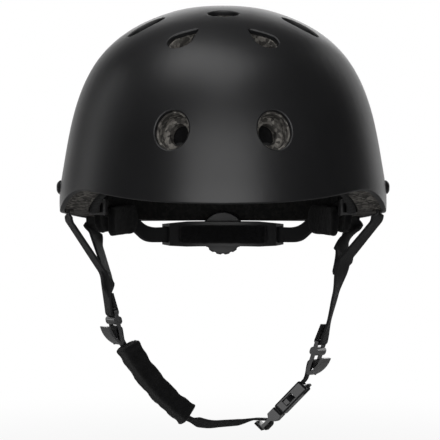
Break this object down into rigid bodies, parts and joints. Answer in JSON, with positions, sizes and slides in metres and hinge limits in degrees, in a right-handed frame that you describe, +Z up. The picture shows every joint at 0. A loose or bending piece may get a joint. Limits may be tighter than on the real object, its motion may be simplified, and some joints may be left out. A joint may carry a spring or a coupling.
{
  "type": "skateboard helmet",
  "caption": "Round matte skateboard helmet with vent holes, foam liner, pads, dial-adjusted rear cradle, and fastened chin strap with padded sleeve and side-release buckle.",
  "frame": {"origin": "middle of the head opening, level with the shell's front brim: where the wearer's brow line is", "axes": "+Z up, the brow toward -Y, the wearer's left toward +X"},
  "size_m": [0.218, 0.266, 0.2825],
  "materials": {
    "shell_black": "matte, faint sheen",
    "foam_grey": "beaded foam, speckled dark grey",
    "rivet_black": "satin",
    "washer_steel": "plain",
    "webbing_black": "woven",
    "buckle_black": "satin gloss",
    "pad_black": "brushed knit",
    "hook_black": "hooked",
    "band_black": "satin",
    "anchor_grey": "satin",
    "dial_black": "satin"
  },
  "bodies": {
    "helmet": {"outer_shell": "shell_black", "eps_liner": "foam_grey", "strap_rivets": "rivet_black", "rivet_washers": "washer_steel", "hook_dots": "hook_black", "front_pad": "pad_black", "crown_pad": "pad_black", "rear_pad": "pad_black", "side_pad_left": "pad_black", "side_pad_right": "pad_black", "ear_pad_left": "pad_black", "ear_pad_right": "pad_black", "front_strap_tab_right": "webbing_black", "rear_strap_tab_right": "webbing_black", "front_strap_left": "webbing_black", "rear_strap_left": "webbing_black", "strap_adjuster_left": "buckle_black", "buckle_strap": "webbing_black", "buckle_socket": "buckle_black", "band_anchor_left": "anchor_grey", "band_anchor_right": "anchor_grey", "anchor_pins": "washer_steel"},
    "right_straps": {"front_strap_right": "webbing_black", "rear_strap_right": "webbing_black", "strap_adjuster_right": "buckle_black", "chin_strap": "webbing_black", "chin_pad": "pad_black", "buckle_plug": "buckle_black"},
    "release_front": {"release_arm_front": "buckle_black"},
    "release_rear": {"release_arm_rear": "buckle_black"},
    "dial_case": {"dial_housing": "band_black", "housing_cover": "band_black", "nape_pad": "pad_black"},
    "dial": {"dial_knob": "dial_black", "dial_pinion": "band_black", "dial_screw": "washer_steel"},
    "right_arm": {"band_arm_right": "band_black", "arm_pad_right": "pad_black"},
    "left_arm": {"band_arm_left": "band_black", "arm_pad_left": "pad_black"}
  },
  "joints": [
    {"name": "chin_strap_release", "type": "hinge", "parent": "helmet", "child": "right_straps", "pos_m": [-0.10108, -0.01161, -0.01021], "axis": [0.1531, 0.9818, -0.112], "range_deg": [0, 40], "deforming": ["release_arm_front", "release_arm_rear"]},
    {"name": "release_arm_front", "type": "hinge", "parent": "right_straps", "child": "release_front", "pos_m": [0.03537, -0.00081, -0.14384], "axis": [0.7054, -0.188, -0.6834], "range_deg": [-8, 0], "stiffness_Nm_per_rad": 0.06},
    {"name": "release_arm_rear", "type": "hinge", "parent": "right_straps", "child": "release_rear", "pos_m": [0.03751, 0.01293, -0.14541], "axis": [0.7054, -0.188, -0.6834], "range_deg": [0, 8], "stiffness_Nm_per_rad": 0.06},
    {"name": "cradle_slide", "type": "slide", "parent": "helmet", "child": "dial_case", "axis": [0, 1, 0], "range_m": [-0.00503, 0.00503]},
    {"name": "dial_turn", "type": "hinge", "parent": "dial_case", "child": "dial", "pos_m": [0, 0.087, -0.03], "axis": [0, 1, 0], "range_deg": [-100, 100]},
    {"name": "right_arm_pivot", "type": "hinge", "parent": "helmet", "child": "right_arm", "pos_m": [-0.079, 0.008, -0.008], "axis": [0, 0, 1], "range_deg": [-4, 4]},
    {"name": "left_arm_pivot", "type": "hinge", "parent": "helmet", "child": "left_arm", "pos_m": [0.079, 0.008, -0.008], "axis": [0, 0, 1], "range_deg": [-4, 4]}
  ],
  "couplings": [
    {"joint": "dial_turn", "follows": "cradle_slide", "rad_per_m": -312.5},
    {"joint": "right_arm_pivot", "follows": "cradle_slide", "rad_per_m": 12.658},
    {"joint": "left_arm_pivot", "follows": "cradle_slide", "rad_per_m": -12.658}
  ]
}
